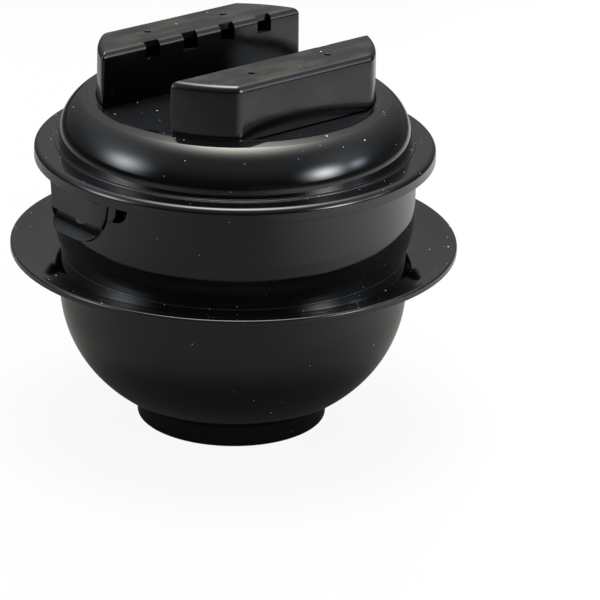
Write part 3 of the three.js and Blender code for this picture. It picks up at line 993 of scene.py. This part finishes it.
def make_room():
    """White to the camera; to everything else a grey room with soft lights in it."""
    world = bpy.data.worlds.new("room")
    bpy.context.scene.world = world
    world.use_nodes = True
    tree = world.node_tree
    tree.nodes.clear()
    direction = node(tree, "ShaderNodeTexCoord").outputs["Generated"]
    grey = node(tree, "ShaderNodeBackground")
    grey.inputs["Color"].default_value = (0.95, 0.98, 1, 1)
    height = ramp(tree, component(tree, direction, "Z"), 0.0, 0.8, *ROOM_GREY)
    tree.links.new(height, grey.inputs["Strength"])
    total = grey.outputs[0]
    for light in LIGHTS:
        both = node(tree, "ShaderNodeAddShader")
        tree.links.new(total, both.inputs[0])
        tree.links.new(glow(tree, direction, *light), both.inputs[1])
        total = both.outputs[0]
    white = node(tree, "ShaderNodeBackground", Strength=1.0)
    white.inputs["Color"].default_value = (1, 1, 1, 1)
    seen = node(tree, "ShaderNodeLightPath").outputs["Is Camera Ray"]
    mix = node(tree, "ShaderNodeMixShader")
    tree.links.new(seen, mix.inputs[0])
    tree.links.new(total, mix.inputs[1])
    tree.links.new(white.outputs[0], mix.inputs[2])
    out = node(tree, "ShaderNodeOutputWorld")
    tree.links.new(mix.outputs[0], out.inputs["Surface"])


FLOOR_FADE = (0.42, 0.8)            # distances in metres where it starts and stops fading
FLOOR_GREY = 0.18
FLOOR_WHITE = 1.15                  # brightness to the camera


def make_floor():
    """A pale floor, almost white to the camera, with a faint shadow under the foot.
    Its grey fades away from the bowl, and it glows with painted light, brighter towards
    the camera's right and faintly towards its left; the camera sees a fifth of that grey and
    glow.
    """
    size = 3.0
    mesh = bpy.data.meshes.new("floor")
    corners = [(-size, -size, 0), (size, -size, 0), (size, size, 0), (-size, size, 0)]
    mesh.from_pydata(corners, [], [(0, 1, 2, 3)])
    floor = bpy.data.objects.new("floor", mesh)
    floor.location.z = -0.0001
    bpy.context.scene.collection.objects.link(floor)
    material = bpy.data.materials.new("floor")
    material.use_nodes = True
    tree = material.node_tree
    tree.nodes.clear()
    place = node(tree, "ShaderNodeNewGeometry").outputs["Position"]
    distance = node(tree, "ShaderNodeVectorMath", operation="LENGTH")
    tree.links.new(place, distance.inputs[0])
    near = ramp(tree, distance.outputs["Value"], *FLOOR_FADE, 1, 0.08)
    matt = node(tree, "ShaderNodeBsdfDiffuse")
    tree.links.new(combine(tree, "MULTIPLY", near, FLOOR_GREY), matt.inputs["Color"])
    # painted light: the floor glows more towards the camera's right, a little towards its left,
    # and less away from the bowl
    across = node(tree, "ShaderNodeVectorMath", operation="DOT_PRODUCT")
    tree.links.new(place, across.inputs[0])
    across.inputs[1].default_value = around(90, 0)
    painted_glow_right = ramp(tree, across.outputs["Value"], 0.05, 0.4, 0, 1.0)
    painted_glow_left = ramp(tree, across.outputs["Value"], -0.1, -0.4, 0, 0.25)
    painted_floor_glow = node(tree, "ShaderNodeEmission")
    both = combine(tree, "ADD", painted_glow_right, painted_glow_left)
    tree.links.new(combine(tree, "MULTIPLY", both, near), painted_floor_glow.inputs["Strength"])
    grey_and_painted_glow = node(tree, "ShaderNodeAddShader")
    tree.links.new(matt.outputs[0], grey_and_painted_glow.inputs[0])
    tree.links.new(painted_floor_glow.outputs[0], grey_and_painted_glow.inputs[1])
    pale = node(tree, "ShaderNodeEmission", Strength=FLOOR_WHITE)
    seen = node(tree, "ShaderNodeLightPath").outputs["Is Camera Ray"]
    mix = node(tree, "ShaderNodeMixShader")
    tree.links.new(combine(tree, "MULTIPLY", seen, 0.8), mix.inputs[0])
    tree.links.new(grey_and_painted_glow.outputs[0], mix.inputs[1])
    tree.links.new(pale.outputs[0], mix.inputs[2])
    out = node(tree, "ShaderNodeOutputMaterial")
    tree.links.new(mix.outputs[0], out.inputs["Surface"])
    mesh.materials.append(material)


def light_stage():
    make_room()
    make_floor()
    bpy.context.scene.view_settings.view_transform = "Standard"


# ---- assembly -------------------------------------------------------------------

make_camera()
light_stage()

pot = make_pot()
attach(pot, "pot")
inner = make_inner_lid()
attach(inner, "inner_lid")
lid = make_lid()
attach(lid, "upper_lid")
grips = [make_handle("rear_grip", False), make_handle("front_grip", True)]
for grip in grips:
    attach(grip, "upper_lid")
tabs = [make_tab("tab_left", "lock_tab_left", False),
        make_tab("tab_right", "lock_tab_right", True)]

pot_plastic = plastic("pot_plastic", (0.0022, 0.0024, 0.0027), 0.06, 0.12, 0.00008, 0.13,
                      dull_above=DULL_ABOVE * MM)
lid_plastic = plastic("lid_plastic", (0.0020, 0.0022, 0.0027), 0.05, 0.09, 0.00006, 0.1)
grip_plastic = plastic("grip_plastic", (0.0024, 0.0025, 0.0027), 0.11, 0.22, 0.0003, 0.05, 0.6)
inner_plastic = plastic("inner_plastic", (0.0040, 0.0041, 0.0043), 0.25, 0.36, 0.00012, 0.008)
wear(pot, pot_plastic)
wear(inner, inner_plastic)
wear(lid, lid_plastic)
for grip in grips:
    wear(grip, grip_plastic)
for tab in tabs:
    wear(tab, lid_plastic)
